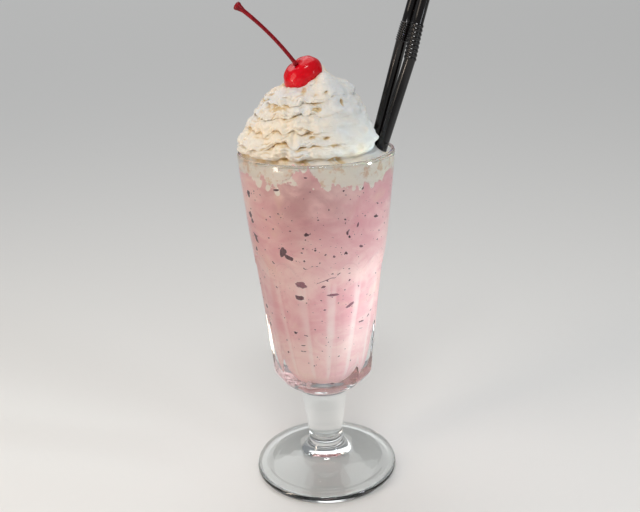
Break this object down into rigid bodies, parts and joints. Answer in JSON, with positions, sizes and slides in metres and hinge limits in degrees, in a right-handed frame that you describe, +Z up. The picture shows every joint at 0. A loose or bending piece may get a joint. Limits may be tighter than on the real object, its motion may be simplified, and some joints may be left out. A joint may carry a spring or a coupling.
{
  "type": "strawberry milkshake",
  "caption": "Strawberry milkshake in a footed soda glass with panelled sides, topped with whipped cream, a cherry on its stalk and black bendy straws.",
  "frame": {"origin": "centre of the glass's foot, in the plane that stands on the table", "axes": "+Z up through the glass, +X towards the side on which the straws lean, -Y towards the viewer of the picture"},
  "size_m": [0.1108, 0.0838, 0.3003],
  "materials": {
    "clear_glass": "clear pressed glass, fire polished",
    "strawberry_shake": "thick milk drink, satin where it meets the glass",
    "dairy_cream": "whipped cream, soft and matt",
    "cherry_red": "wet, glossy cherry skin",
    "stalk_red": "dyed stalk, slightly glossy",
    "black_plastic": "thin moulded plastic, glossy"
  },
  "bodies": {
    "root": {"glass": "clear_glass", "milkshake": "strawberry_shake", "whipped_cream": "dairy_cream", "cherry": "cherry_red", "cherry_stalk": "stalk_red", "straw_left": "black_plastic", "straw_right": "black_plastic"}
  },
  "joints": []
}
